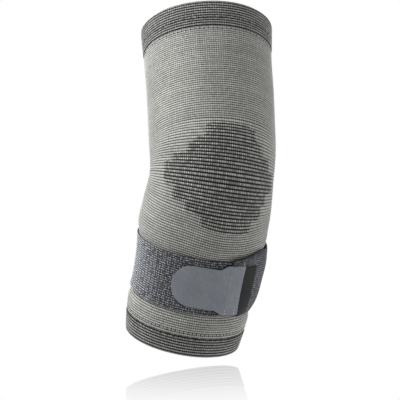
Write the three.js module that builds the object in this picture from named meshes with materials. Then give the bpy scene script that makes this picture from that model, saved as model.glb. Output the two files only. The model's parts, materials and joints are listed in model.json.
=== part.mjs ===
// Knitted elbow support: a bent tube of striped compression knit with a folded welt at each end,
// a darker stepped panel knitted in over the elbow point, and a forearm strap of loop fabric that
// laps over itself and closes with a hook tab.
//
// Units are millimetres. The origin is on the arm's centreline at the elbow. +Z runs up the upper
// arm, -Y points out of the elbow, and +X is to the right of someone facing the elbow point.
// A station is a distance along the centreline from the elbow, positive towards the shoulder.
// An angle goes round the arm in degrees from the elbow point, positive towards +X.
import * as THREE from 'three';

const { degToRad, lerp, smoothstep } = THREE.MathUtils;

// The arm's bend: an arc at the elbow between two straight lengths
const BEND_RADIUS = 62.5;
const UPPER_TILT = degToRad(22.5);
const FOREARM_TILT = degToRad(15.5);

// Outer radius of the knit along the arm, drawn in under the strap
const SECTIONS = [
  { station: -120, radius: 40.5 },
  { station: -104.5, radius: 42.5 },
  { station: -95, radius: 43.2 },
  { station: -88, radius: 41.7 },
  { station: -48, radius: 43.2 },
  { station: -41, radius: 45.1 },
  { station: -26.5, radius: 44.8 },
  { station: 0, radius: 43.1 },
  { station: 22.5, radius: 43.9 },
  { station: 60, radius: 44.6 },
  { station: 94, radius: 45.6 },
  { station: 112, radius: 46.8 },
];
const KNIT_WALL = 2;
const LONGEST_STEP = 17;

// Every ring has the same number of facets, so rings that meet lie facet to facet
const FACETS = 60;
const FACET_ANGLE = 360 / FACETS;

// Space left between pieces that touch
const GAP = 0.3;

// Folded welts: two layers of knit, from the body of the sleeve to the fold at the rim
const WELTS = [
  { name: 'upper_welt', body: 94, rim: 112 },
  { name: 'lower_welt', body: -104.5, rim: -120 },
];
const WELT_WALL = 3.2;
const WELT_RISE = 0.6;
const WELT_SHOULDER = 1.4;
const WELT_OUTER_STEPS = 3;
const FOLD_STEPS = 5;

// Elbow panel: a stepped lozenge, widest at the elbow point
const PANEL_RISE = 0.4;
const PANEL_STEPS = [
  { left: -24, right: 24, top: 20.6, bottom: -26.8 },
  { left: -42, right: 36, top: 14, bottom: -17.4 },
  { left: -54, right: 42, top: 8.4, bottom: -13 },
  { left: -66, right: 54, top: 4, bottom: -7.3 },
];

// Strap, from the sewn end under the tab, round the back to the end that the lap covers.
// It lies on the knit except at the lap, which is lifted by the end below it, and beside the lap,
// where the stiff band stands off between its two edges in a flat-topped crown.
const STRAP_WALL = 1.6;
const STRAP_ROWS = 8;
const STRAP_PATH = [
  { angle: -348, top: -45.6, bottom: -86.6, lift: 1.9, crown: 0 },
  { angle: -336, top: -43.9, bottom: -87.4, lift: 1.9, crown: 0.2 },
  { angle: -318, top: -40.4, bottom: -88.2, lift: 1.2, crown: 2 },
  { angle: -300, top: -41.2, bottom: -89.2, lift: 0.3, crown: 5 },
  { angle: -282, top: -41.5, bottom: -86.4, lift: 0, crown: 4 },
  { angle: -258, top: -42.1, bottom: -85.5, lift: 0, crown: 3 },
  { angle: -222, top: -45.6, bottom: -87, lift: 0, crown: 0.3 },
  { angle: -204, top: -46.6, bottom: -87.6, lift: 0, crown: 0 },
  { angle: -90, top: -47.4, bottom: -87.6, lift: 0, crown: 0 },
  { angle: 0, top: -47.6, bottom: -88, lift: 0, crown: 0 },
  { angle: 24, top: -47.5, bottom: -88, lift: 0, crown: 0 },
];
const CROWN_POWER = 3;

// Hook tab: a base sewn over the strap's end, shoulders, and a tongue with a round tip
const TAB_WALL = 1.2;
const TAB_CENTRE = -68;
const TAB_BASE = { half_width: 18, from: 25.2, to: 9 };
const TAB_TONGUE = { half_width: 14.7, from: 1, tip: -39.8 };
const TAB_RAMP = { low: -12, high: 11.5 };
const TAB_ROWS = 4;
const TAB_TIP_FAN = 80;
const TAB_TIP_STEPS = 7;

// Side label: a plain woven tag beside the tab
const LABEL = { from: 25.7, to: 40.9, top: -51, bottom: -88, wall: 0.8 };
const LABEL_ROWS = 8;
const LABEL_COLUMNS = 3;

// Colour and roughness of each fabric
const FINISHES = {
  plain_knit: { color: 0x94948f, roughness: 0.95 },
  panel_knit: { color: 0x525250, roughness: 0.95 },
  welt_knit: { color: 0x5b5b59, roughness: 0.95 },
  loop_fabric: { color: 0x5a5b5f, roughness: 1 },
  tab_fabric: { color: 0x6a6d72, roughness: 0.8 },
  label_weave: { color: 0x1d1e21, roughness: 0.7 },
};

// A smooth curve through one column of a table, as a function of another column
function column(table, along, value) {
  const places = table.map((row) => row[along]);
  const values = table.map((row) => row[value]);
  const curve = new THREE.CubicInterpolant(places, values, 1);
  return (at) => curve.evaluate(at)[0];
}

const knitRadius = column(SECTIONS, 'station', 'radius');
const strapTop = column(STRAP_PATH, 'angle', 'top');
const strapBottom = column(STRAP_PATH, 'angle', 'bottom');
const strapLift = column(STRAP_PATH, 'angle', 'lift');
const strapCrown = column(STRAP_PATH, 'angle', 'crown');

// The centreline's place and tilt at a station
function centreline(station) {
  const arc = THREE.MathUtils.clamp(station, -FOREARM_TILT * BEND_RADIUS, UPPER_TILT * BEND_RADIUS);
  const tilt = arc / BEND_RADIUS;
  const straight = station - arc;
  const y = BEND_RADIUS * (1 - Math.cos(tilt)) + straight * Math.sin(tilt);
  const z = BEND_RADIUS * Math.sin(tilt) + straight * Math.cos(tilt);
  return { place: new THREE.Vector3(0, y, z), tilt };
}

// The point at a station and angle, at a distance from the centreline
function onArm(station, angle, radius) {
  const { place, tilt } = centreline(station);
  const turn = degToRad(angle);
  const outwards = new THREE.Vector3(0, -Math.cos(tilt), Math.sin(tilt));
  return place.addScaledVector(outwards, radius * Math.cos(turn)).setX(radius * Math.sin(turn));
}

// Grid lines through the given marks, with evenly spaced lines added where marks are far apart
function gridLines(marks, longest) {
  const sorted = [...new Set(marks)].sort((a, b) => a - b);
  const lines = [sorted[0]];
  for (let k = 1; k < sorted.length; k += 1) {
    const steps = Math.ceil((sorted[k] - sorted[k - 1]) / longest);
    for (let n = 1; n <= steps; n += 1) {
      lines.push(lerp(sorted[k - 1], sorted[k], n / steps));
    }
  }
  return lines;
}

// A closed wall over a grid of cells. outer and inner give the wall's two faces at a grid corner,
// keep says which cells have wall, and a closed grid joins its last column to its first.
function gridWall({ rows, columns, outer, inner, keep = () => true, closed = false }) {
  const lines = closed ? columns : columns + 1;
  const positions = [];
  for (let i = 0; i <= rows; i += 1) {
    for (let j = 0; j < lines; j += 1) {
      positions.push(...outer(i, j).toArray(), ...inner(i, j).toArray());
    }
  }
  const wrap = (j) => (closed ? (j + columns) % columns : j);
  const outside = (i, j) => 2 * (i * lines + (j % lines));
  const inside = (i, j) => outside(i, j) + 1;
  const hasWall = (i, j) => {
    const within = i >= 0 && i < rows && wrap(j) >= 0 && wrap(j) < columns;
    return within && keep(i, wrap(j));
  };
  const triangles = [];
  const quad = (a, b, c, d) => triangles.push(a, b, c, a, c, d);
  const edge = (i, j, nextI, nextJ) => {
    quad(inside(i, j), inside(nextI, nextJ), outside(nextI, nextJ), outside(i, j));
  };
  for (let i = 0; i < rows; i += 1) {
    for (let j = 0; j < columns; j += 1) {
      if (hasWall(i, j)) {
        quad(outside(i, j), outside(i, j + 1), outside(i + 1, j + 1), outside(i + 1, j));
        quad(inside(i, j), inside(i + 1, j), inside(i + 1, j + 1), inside(i, j + 1));
        if (!hasWall(i - 1, j)) edge(i, j, i, j + 1);
        if (!hasWall(i, j + 1)) edge(i, j + 1, i + 1, j + 1);
        if (!hasWall(i + 1, j)) edge(i + 1, j + 1, i + 1, j);
        if (!hasWall(i, j - 1)) edge(i + 1, j, i, j);
      }
    }
  }
  const geometry = new THREE.BufferGeometry();
  geometry.setAttribute('position', new THREE.Float32BufferAttribute(positions, 3));
  geometry.setIndex(triangles);
  geometry.computeVertexNormals();
  return geometry;
}

// The grid that the sleeve and its panel share, with lines along every step of the panel
const sleeveEnds = WELTS.map((welt) => welt.body - Math.sign(welt.rim) * GAP);
const [sleeveTop, sleeveBottom] = sleeveEnds;
const sectionMarks = SECTIONS.map((row) => row.station);
const stepMarks = PANEL_STEPS.flatMap((step) => [step.top, step.bottom]);
const insideEnds = [...sectionMarks, ...stepMarks].filter((at) => at > sleeveBottom && at < sleeveTop);
const sleeveLines = gridLines([...sleeveEnds, ...insideEnds], LONGEST_STEP);
const sleeveRows = sleeveLines.length - 1;
const INSIDE_OF_ELBOW = -180;
const facetAngle = (j) => INSIDE_OF_ELBOW + j * FACET_ANGLE;

function inPanel(i, j) {
  const station = (sleeveLines[i] + sleeveLines[i + 1]) / 2;
  const angle = facetAngle(j + 0.5);
  return PANEL_STEPS.some((step) => {
    const inRow = station < step.top && station > step.bottom;
    return inRow && angle > step.left && angle < step.right;
  });
}

function sleeveGeometry() {
  const face = (depth) => (i, j) => {
    const station = sleeveLines[i];
    return onArm(station, facetAngle(j), knitRadius(station) - depth);
  };
  return gridWall({
    rows: sleeveRows,
    columns: FACETS,
    closed: true,
    keep: (i, j) => !inPanel(i, j),
    outer: face(0),
    inner: face(KNIT_WALL),
  });
}

// The panel fills the sleeve's opening, drawn in by the gap along its stepped edge
function panelGeometry() {
  const gapAngle = THREE.MathUtils.radToDeg(GAP / knitRadius(0));
  const face = (rise) => (i, j) => {
    const below = inPanel(i - 1, j - 1) + inPanel(i - 1, j);
    const above = inPanel(i, j - 1) + inPanel(i, j);
    const left = inPanel(i - 1, j - 1) + inPanel(i, j - 1);
    const right = inPanel(i - 1, j) + inPanel(i, j);
    const station = sleeveLines[i] + GAP * Math.sign(above - below);
    const angle = facetAngle(j) + gapAngle * Math.sign(right - left);
    return onArm(station, angle, knitRadius(station) + rise);
  };
  return gridWall({
    rows: sleeveRows,
    columns: FACETS,
    closed: true,
    keep: inPanel,
    outer: face(PANEL_RISE),
    inner: face(-KNIT_WALL),
  });
}

// A welt is a ring turned about the arm's straight axis: flat against the sleeve, folded at the rim
function weltGeometry({ body, rim }) {
  const towardsRim = Math.sign(rim - body);
  const foldRadius = WELT_WALL / 2;
  const foldCentre = rim - towardsRim * foldRadius;
  const shoulder = body + towardsRim * WELT_SHOULDER;
  const profile = [new THREE.Vector2(knitRadius(body), 0)];
  for (let k = 0; k < WELT_OUTER_STEPS; k += 1) {
    const station = lerp(shoulder, foldCentre, k / WELT_OUTER_STEPS);
    profile.push(new THREE.Vector2(knitRadius(station) + WELT_RISE, station - body));
  }
  const foldMiddle = knitRadius(foldCentre) + WELT_RISE - foldRadius;
  for (let k = 0; k <= FOLD_STEPS; k += 1) {
    const turn = (Math.PI * k) / FOLD_STEPS;
    const radius = foldMiddle + foldRadius * Math.cos(turn);
    const station = foldCentre + towardsRim * foldRadius * Math.sin(turn);
    profile.push(new THREE.Vector2(radius, station - body));
  }
  profile.push(new THREE.Vector2(knitRadius(body) + WELT_RISE - WELT_WALL, 0));
  profile.push(profile[0].clone());
  if (towardsRim < 0) profile.reverse();
  const seam = Math.PI;
  return new THREE.LatheGeometry(profile, FACETS, seam);
}

// How far a face of the strap is from the knit, at a fraction of the way down its width
function strapStandOff(angle, down) {
  const lift = Math.max(0, strapLift(angle));
  const crown = Math.max(0, strapCrown(angle));
  return GAP + lift + crown * (1 - Math.abs(2 * down - 1) ** CROWN_POWER);
}

// The strap's outer face over the lap, where the tab and the label are sewn on
function lapFace(angle, station) {
  const wound = angle - 360;
  const down = (strapTop(wound) - station) / (strapTop(wound) - strapBottom(wound));
  return strapStandOff(wound, THREE.MathUtils.clamp(down, 0, 1)) + STRAP_WALL;
}

function strapGeometry() {
  const firstAngle = STRAP_PATH[0].angle;
  const lastAngle = STRAP_PATH[STRAP_PATH.length - 1].angle;
  const face = (depth) => (i, j) => {
    const angle = firstAngle + j * FACET_ANGLE;
    const down = 1 - i / STRAP_ROWS;
    const station = lerp(strapTop(angle), strapBottom(angle), down);
    return onArm(station, angle, knitRadius(station) + strapStandOff(angle, down) + depth);
  };
  return gridWall({
    rows: STRAP_ROWS,
    columns: (lastAngle - firstAngle) / FACET_ANGLE,
    outer: face(STRAP_WALL),
    inner: face(0),
  });
}

// The tab's columns: angles from its round tip to its sewn edge, each with its half width
function tabColumns() {
  const tongueLift = 2 * GAP + STRAP_WALL;
  const arm = knitRadius(TAB_CENTRE) + tongueLift;
  const tipRadius = TAB_TONGUE.half_width;
  const columns = [];
  for (let k = 0; k < TAB_TIP_STEPS; k += 1) {
    const fan = degToRad(lerp(TAB_TIP_FAN, 0, k / TAB_TIP_STEPS));
    const fromTip = tipRadius * (1 - Math.sin(fan));
    const angle = TAB_TONGUE.tip + THREE.MathUtils.radToDeg(fromTip / arm);
    columns.push({ angle, half_width: tipRadius * Math.cos(fan) });
  }
  const tipEnd = TAB_TONGUE.tip + THREE.MathUtils.radToDeg(tipRadius / arm);
  const midShoulder = (TAB_TONGUE.from + TAB_BASE.to) / 2;
  const marks = [tipEnd, TAB_TONGUE.from, midShoulder, TAB_BASE.to, TAB_BASE.from];
  for (const angle of gridLines(marks, FACET_ANGLE)) {
    const shoulder = smoothstep(angle, TAB_TONGUE.from, TAB_BASE.to);
    columns.push({ angle, half_width: lerp(tipRadius, TAB_BASE.half_width, shoulder) });
  }
  return columns;
}

function tabGeometry() {
  const columns = tabColumns();
  const face = (depth) => (i, j) => {
    const { angle, half_width } = columns[j];
    const station = TAB_CENTRE + half_width * ((2 * i) / TAB_ROWS - 1);
    const onTongue = GAP + STRAP_WALL;
    const seat = lerp(onTongue, lapFace(angle, station), smoothstep(angle, TAB_RAMP.low, TAB_RAMP.high));
    return onArm(station, angle, knitRadius(station) + seat + GAP + depth);
  };
  return gridWall({
    rows: TAB_ROWS,
    columns: columns.length - 1,
    outer: face(TAB_WALL),
    inner: face(0),
  });
}

function labelGeometry() {
  const face = (depth) => (i, j) => {
    const angle = lerp(LABEL.from, LABEL.to, j / LABEL_COLUMNS);
    const station = lerp(LABEL.bottom, LABEL.top, i / LABEL_ROWS);
    return onArm(station, angle, knitRadius(station) + lapFace(angle, station) + GAP + depth);
  };
  return gridWall({
    rows: LABEL_ROWS,
    columns: LABEL_COLUMNS,
    outer: face(LABEL.wall),
    inner: face(0),
  });
}

function cloth(name, geometry, finish) {
  const material = new THREE.MeshStandardMaterial({ ...finish, metalness: 0, flatShading: true });
  const mesh = new THREE.Mesh(geometry, material);
  mesh.name = name;
  return mesh;
}

const elbowSupport = new THREE.Group();
elbowSupport.add(cloth('sleeve', sleeveGeometry(), FINISHES.plain_knit));
elbowSupport.add(cloth('elbow_panel', panelGeometry(), FINISHES.panel_knit));
for (const welt of WELTS) {
  const ring = cloth(welt.name, weltGeometry(welt), FINISHES.welt_knit);
  const { place, tilt } = centreline(welt.body);
  ring.position.copy(place);
  ring.rotation.x = Math.PI / 2 - tilt;
  elbowSupport.add(ring);
}
elbowSupport.add(cloth('strap', strapGeometry(), FINISHES.loop_fabric));
elbowSupport.add(cloth('hook_tab', tabGeometry(), FINISHES.tab_fabric));
elbowSupport.add(cloth('side_label', labelGeometry(), FINISHES.label_weave));

export default elbowSupport;
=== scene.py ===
"""Knitted elbow support with a forearm strap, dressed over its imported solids.

The sleeve, the elbow panel and the two welts are knitted cloth. Each starts as a flat grid with
lines along its rows and wales, gets the relief of its stitches, and is rolled round the bent arm.
The strap, its loop pile, the hook tab, the side label and the sewing lie over the knit.

Tables and shape functions are in millimetres, and every mesh is in metres. A station is a distance
along the arm's centreline from the elbow, positive towards the shoulder. An angle goes round the arm
in degrees from the elbow point, positive towards +X.
"""

import bisect
import json
import math
import random

import bmesh
import bpy
from bpy.props import FloatProperty, FloatVectorProperty, PointerProperty
from mathutils import Matrix, Vector, noise

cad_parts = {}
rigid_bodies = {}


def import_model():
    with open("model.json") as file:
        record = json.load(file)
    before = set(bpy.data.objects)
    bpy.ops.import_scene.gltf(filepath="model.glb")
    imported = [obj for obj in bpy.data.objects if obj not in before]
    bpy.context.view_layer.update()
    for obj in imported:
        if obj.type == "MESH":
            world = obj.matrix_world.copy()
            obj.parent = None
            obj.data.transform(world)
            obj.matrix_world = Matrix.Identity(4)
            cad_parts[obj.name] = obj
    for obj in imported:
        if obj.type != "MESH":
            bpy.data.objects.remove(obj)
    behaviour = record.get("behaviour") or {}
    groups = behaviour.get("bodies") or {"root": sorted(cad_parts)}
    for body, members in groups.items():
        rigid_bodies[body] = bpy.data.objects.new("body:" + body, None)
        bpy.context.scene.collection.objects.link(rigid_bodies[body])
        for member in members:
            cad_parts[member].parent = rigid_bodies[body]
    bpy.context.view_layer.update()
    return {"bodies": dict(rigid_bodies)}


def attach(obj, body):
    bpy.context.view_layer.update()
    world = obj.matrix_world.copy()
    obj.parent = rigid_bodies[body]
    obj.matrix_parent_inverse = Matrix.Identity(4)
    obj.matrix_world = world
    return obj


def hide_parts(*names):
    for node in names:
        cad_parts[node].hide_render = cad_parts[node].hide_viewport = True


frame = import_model()

bl_info = {
    "name": "Knitted elbow support",
    "version": (1, 0, 0),
    "blender": (4, 5, 0),
    "location": "View3D > Sidebar > Elbow support",
    "description": "Builds a knitted elbow support with a forearm strap round its packed solids",
    "category": "Add Mesh",
}

MM = 0.001
BODY = next(iter(frame["bodies"]))
WELD = 1e-6

# Names of the mesh layers and of the shared node groups
COURSE_MAP = "courses"
TONE = "tone"
INSET = "inset"
STITCHES = "Knitted stitches"
FUZZ = "Yarn fuzz"

# Sockets of a Mix node that mixes colours
MIX_COLOUR_INPUTS = (0, 6, 7)
MIX_COLOUR_OUTPUT = 2

# Seeds of the chance draws
SEEDS = {"linking": 11, "pile": 5, "sewing": 3}

# The arm's bend: an arc at the elbow between two straight lengths
BEND_RADIUS = 62.5
UPPER_TILT = math.radians(22.5)
FOREARM_TILT = math.radians(15.5)

# Outer radius of the knit along the arm, drawn in under the strap
SECTIONS = [
    {"station": -120, "radius": 40.5},
    {"station": -104.5, "radius": 42.5},
    {"station": -95, "radius": 43.2},
    {"station": -88, "radius": 41.7},
    {"station": -48, "radius": 43.2},
    {"station": -41, "radius": 45.1},
    {"station": -26.5, "radius": 44.8},
    {"station": 0, "radius": 43.1},
    {"station": 22.5, "radius": 43.9},
    {"station": 60, "radius": 44.6},
    {"station": 94, "radius": 45.6},
    {"station": 112, "radius": 46.8},
]

# Knitted rows, counted from the lower welt, and where they lie at the sides of the arm
ROWS = [
    {"row": 0, "station": -104.7},
    {"row": 47, "station": -23.3},
    {"row": 51, "station": -16.6},
    {"row": 55, "station": -11.0},
    {"row": 59, "station": -4.9},
    {"row": 63, "station": 1.8},
    {"row": 67, "station": 7.7},
    {"row": 71, "station": 13.2},
    {"row": 75, "station": 18.7},
    {"row": 79, "station": 23.7},
    {"row": 88, "station": 38.8},
    {"row": 101, "station": 60.2},
    {"row": 122, "station": 92.5},
]
ALL_ROWS = 122
HALF_WAY_ROW = 61

# The elbow pushes the rows below it down in a bow, and the rows lean a little across the elbow
BOW_DEPTH = 3.0
BOW_CENTRE = 4
BOW_REACH = 46
BOW_TOP_ROW = 51
BOW_FULL_ROW = 47
ROW_LEAN = 1.2
LEAN_ROW = 63
LEAN_REACH = 60

# One wale is two degrees, and the panel's dark rows end between wales, in steps
WALE_ANGLE = 2.0
COLUMN_ANGLE = 1.0
INSIDE_OF_ELBOW = -180
PANEL_STEPS = [
    {"first": 47, "last": 47, "left": -24, "right": 24},
    {"first": 48, "last": 50, "left": -26, "right": 26},
    {"first": 51, "last": 53, "left": -42, "right": 36},
    {"first": 54, "last": 55, "left": -56, "right": 36},
    {"first": 56, "last": 57, "left": -56, "right": 42},
    {"first": 58, "last": 58, "left": -66, "right": 42},
    {"first": 59, "last": 59, "left": -70, "right": 50},
    {"first": 60, "last": 64, "left": -70, "right": 54},
    {"first": 65, "last": 67, "left": -60, "right": 44},
    {"first": 68, "last": 68, "left": -46, "right": 42},
    {"first": 69, "last": 70, "left": -44, "right": 32},
    {"first": 71, "last": 71, "left": -40, "right": 30},
    {"first": 72, "last": 72, "left": -36, "right": 30},
    {"first": 73, "last": 73, "left": -30, "right": 24},
    {"first": 74, "last": 76, "left": -28, "right": 22},
    {"first": 77, "last": 77, "left": -24, "right": 16},
]
TAPER_WALES = 2.0
HALF_ROW = 0.5

# Lines of the grid for each knitted row
PLAIN_LINES = 2
BOLD_LINES = 4

# How much of the relief lies below the knit's nominal face, and how far the panel rises above the sleeve
PLAIN_KNIT = {"in_panel": False, "lines": PLAIN_LINES, "sink": 0.05, "rise": 0}
PANEL_KNIT = {"in_panel": True, "lines": BOLD_LINES, "sink": 0.4, "rise": 0.4}
WELT_SINK = 0.5

# How much of the relief is the row's ridge, and the rest its stitches
RIDGE_SHARE = 0.72

# The elbow is a little fuller on the right
BULGE = {"height": 0.6, "angle": 75, "reach": 65}
BULGE_ENDS = {"low": -42, "full_low": -15, "full_high": 55, "high": 88}

# Scale of the knit's uneven patches: units of noise round the arm, and millimetres along it for each
PATCHES = {"round": 1.3, "along": 34}

# Looks of the knits, as knit_material takes them, with the relief of the bump in millimetres
PLAIN_LOOK = {"valley": 0.2, "softness": 0.4, "spread": 0.6, "bridge": 0.35, "relief": 0.5, "sheen": 0.4}
PANEL_LOOK = {"valley": 0.36, "softness": 0.24, "spread": 0.7, "bridge": 0, "relief": 0.7, "sheen": 0.2}
WELT_LOOK = {"softness": 0.24, "spread": 0.6, "bridge": 0, "relief": 0.6, "sheen": 0.12}
KNIT_ROUGHNESS = 0.92
EDGE_VALLEY = 0.2

# What all the cloth shares: its gloss, how its masks fade, and the angle of the edges that are rounded
CLOTH_SPECULAR = 0.15
SHEEN_ROUGHNESS = 0.5
BEAD_EDGES = (0.25, 0.75)
FUZZ_EDGES = (0.3, 0.7)
CROWN_SHARE = 0.4
CUT_EDGE_ANGLE = math.radians(50)

# Folded welts, from the body of the sleeve to the fold at the rim
WELTS = [
    {
        "name": "upper_welt",
        "body": 92.5,
        "rim": 112,
        "pitch": 1.83,
        "valley": 0.36,
        "first_row": -0.5,
        "dashes": 91.2,
    },
    {
        "name": "lower_welt",
        "body": -104.7,
        "rim": -120,
        "pitch": 2.07,
        "valley": 0.38,
        "first_row": 2.5,
        "dashes": -102.1,
    },
]
WELT_WALL = 3.2
WELT_RISE = 0.6
WELT_SHOULDER = 1.4
FOLD_LINES = 10
INNER_LINES = 16
INNER_FACE = -0.5

# Dark linking stitches beside a welt, and the mottled row where its fold is linked down
LINKING = {"step": 4, "lean": (55, 95), "stray": 0.25, "lift": 0.2}
LINKING_STITCH = {"stitch_length": 1.5, "width": 0.9, "thickness": 0.6}
LINK_ROW = 3.0
LINK_BAND = {"full": 0.3, "none": 0.7, "share": 0.8, "scale": 0.6, "edges": (0.4, 0.6)}

# Strap, from the sewn end under the tab, round the back to the end that the lap covers
STRAP_WALL = 1.6
STRAP_PATH = [
    {"angle": -348, "top": -45.6, "bottom": -86.6, "lift": 1.9, "crown": 0},
    {"angle": -336, "top": -43.9, "bottom": -87.4, "lift": 1.9, "crown": 0.2},
    {"angle": -318, "top": -40.4, "bottom": -88.2, "lift": 0.3, "crown": 2.9},
    {"angle": -300, "top": -41.2, "bottom": -89.2, "lift": 0.3, "crown": 5},
    {"angle": -282, "top": -41.5, "bottom": -86.4, "lift": 0, "crown": 4},
    {"angle": -258, "top": -42.1, "bottom": -85.5, "lift": 0, "crown": 3},
    {"angle": -222, "top": -45.6, "bottom": -87, "lift": 0, "crown": 0.3},
    {"angle": -204, "top": -46.6, "bottom": -87.6, "lift": 0, "crown": 0},
    {"angle": -90, "top": -47.4, "bottom": -87.6, "lift": 0, "crown": 0},
    {"angle": 0, "top": -47.6, "bottom": -88, "lift": 0, "crown": 0},
    {"angle": 24, "top": -47.5, "bottom": -88, "lift": 0, "crown": 0},
]
CROWN_POWER = 3
GAP = 0.3
STRAP_RIBS = 30
RIB_LINES = 3
STRAP_COLUMN = 2.0
STRAP_FACE = 1.3
STRAP_BODY = 1.1
STRAP_EDGE = 0.3

# Bare elastic: its light stitches, a painted shadow of the knit's bulge along its top, and how both its
# woven edges darken
ELASTIC_LOOK = {
    "crowns": 0.35,
    "top": (0.86, 0.98),
    "top_painted_shadow": 0.6,
    "edge": (0.01, 0.03),
    "edge_shade": 0.75,
}

# Columns of loops cover the strap's sewn end, where few are bright as a painted shadow of the knit's
# bulge, and then all of it from the back seam round to the front
PILE_PATCHES = [
    # Few bright loops on the sewn end: a painted shadow of the knit's bulge above it
    {"from": -348, "to": -338, "bright": 0.2},
    {"from": -228, "to": 12, "bright": 1},
]
PILE_ROWS = 24
HALF_COLUMN = 0.5
PILE_EDGE = 0.005
LOOP_BEND = 0.55
LOOP_THICKNESS = 0.28
LOOP_SIDES = 4
LOOP_STEPS = 5
LOOP_SIZES = (0.92, 1.08)
TIGHTENING = (0.2, 0.8)
# Left flank, where the pile and its ground are painted paler as a painted sheen, and how far that
# reaches round the arm
SHEEN_PAINTED_SIDE = {"angle": -100, "reach": 72}

# Each column of the pile has a pair of strands, mostly of bright loops, and a dull strand beside them;
# on the left flank the pair is all bright, a painted sheen
STRANDS = [
    {"offset": -0.7, "turn": -15, "bright": 0.72, "pale": 1},
    {"offset": 0.7, "turn": 15, "bright": 0.72, "pale": 1},
    {"offset": 1.85, "turn": 0, "bright": 0.06, "pale": 0},
]

# In front the loops turn every way, and on the pale side, stretched tight, they lie flat round the arm
LOOSE_LOOP = {"wander": 90, "stray": 0.1, "length": 0.76, "girth": 1.35, "rise": 1.0}
TIGHT_LOOP = {"wander": 4, "stray": 0.03, "length": 0.76, "girth": 1.4, "rise": 0.6}

# Tones of the loops, from dark to light, in front and on the left flank, whose light tones are a painted
# sheen
FRONT_TONES = {"dull": (0, 0.04), "bright": (0.2, 0.54)}
SHEEN_SIDE_TONES = {"dull": (0, 0.1), "bright": (0.82, 0.96)}

# Hook tab: a base sewn over the strap's end, shoulders, and a tongue with a round tip
TAB_WALL = 1.2
TAB_CENTRE = -68
TAB_BASE = {"half_width": 18, "from": 25.2, "to": 9}
TAB_TONGUE = {"half_width": 14.7, "from": 1, "tip": -39.8}
TAB_RAMP = {"low": -12, "high": 11.5}
TAB_ROWS = 28
TAB_TIP_FAN = 88
TAB_TIP_STEPS = 14
TAB_COLUMN = 1.2
TAB_THREAD = 0.55
TAB_EDGE = 0.35

# Two rows of sewing on the tab, whose lowest stitches show white, and a loose end of thread
TAB_SEAMS = [10.8, 20.6]
SEWING = {"pitch": 2.4, "margin": 1.2, "lift": 0.05, "sway": 0.12, "white": 3, "fleck": 0.15}
SEWING_STITCH = {"stitch_length": 1.9, "width": 0.5, "thickness": 0.45}
LOOSE_END = {"angle": 23.6, "station": -48.6, "stretch": 1.8}

# The tab's sewn edge, its seams and the label lean round the arm by this for each millimetre downwards
SEWN_LEAN = 0.055
LEAN_FROM = -51
LEAN_ANGLE = 8

# Side label: a plain woven tag beside the tab
LABEL = {"from": 25.7, "to": 40.9, "top": -51, "bottom": -88, "wall": 0.8}
LABEL_COLUMNS = 14
LABEL_ROWS = 36
LABEL_THREADS = 1.5
LABEL_EDGE = 0.2
LABEL_CROWNS = 0.5

# Middle of the view, and the camera
VIEW_CENTRE = Vector((-6.75, 0, -17.5)) * MM
SENSOR_WIDTH = 36.0
CLIP_END = 20

# Floor, in metres, and its reflection, which fades towards the front
FLOOR = {"half_width": 6, "mirror": 0.36, "faded": 0.02, "fade": 0.3, "roughness": 0.02}
RIM_STEP = 6


def linear(red, green, blue):
    """A colour as the screen shows it, from 0 to 255, as the linear colour that a shader takes."""
    channels = [value / 255 for value in (red, green, blue)]
    return tuple(((c + 0.055) / 1.055) ** 2.4 if c > 0.04045 else c / 12.92 for c in channels) + (1.0,)


def colour(name, description, red, green, blue):
    """A colour property with its default as the screen shows it."""
    default = linear(red, green, blue)
    return FloatVectorProperty(
        name=name, description=description, subtype="COLOR", size=4, min=0, max=1, default=default
    )


def length(name, description, millimetres):
    """A length property with its default in millimetres."""
    return FloatProperty(
        name=name, description=description, default=millimetres * MM, min=0, unit="LENGTH", precision=5
    )


def rotation(name, description, degrees):
    """An angle property with its default in degrees."""
    return FloatProperty(
        name=name, description=description, default=math.radians(degrees), unit="ROTATION"
    )


def amount(name, description, default):
    """A property that is a plain number."""
    return FloatProperty(name=name, description=description, default=default, min=0)


def direction(name, description, default):
    """A direction property, as right, up and towards the camera."""
    return FloatVectorProperty(
        name=name, description=description, subtype="DIRECTION", size=3, default=default
    )


class KnitSettings(bpy.types.PropertyGroup):
    """Sizes and yarns of the knit"""

    wall: length("Wall", "Thickness of the single knit", 2.0)
    plain_relief: length("Plain relief", "Height of the plain rows above the valleys between them", 0.5)
    panel_relief: length("Panel relief", "Height of the grey rows of the elbow panel", 0.9)
    welt_relief: length("Welt relief", "Height of the light rows of the welts", 0.7)
    unevenness: length("Unevenness", "How far the knit swells and sinks over a few centimetres", 0.25)
    plain_valley: colour("Plain valley", "Yarn in the valleys of the plain knit", 50, 50, 48)
    plain_rib: colour("Plain rib", "Body of the plain rows", 168, 168, 163)
    plain_stitch: colour("Plain stitch", "Crowns of the plain stitches", 212, 212, 206)
    panel_valley: colour("Panel valley", "Dark rows of the panel", 40, 40, 40)
    panel_rib: colour("Panel rib", "Grey rows of the panel", 112, 112, 109)
    panel_stitch: colour("Panel stitch", "Light stitches along the panel's grey rows", 228, 227, 222)
    welt_valley: colour("Welt valley", "Dark rows of the welts", 34, 34, 33)
    welt_rib: colour("Welt rib", "Light rows of the welts", 128, 128, 126)
    welt_stitch: colour("Welt stitch", "Light stitches along the welts", 200, 200, 197)
    linking: colour("Linking yarn", "Dark linking stitches beside the welts", 30, 30, 29)


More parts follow.
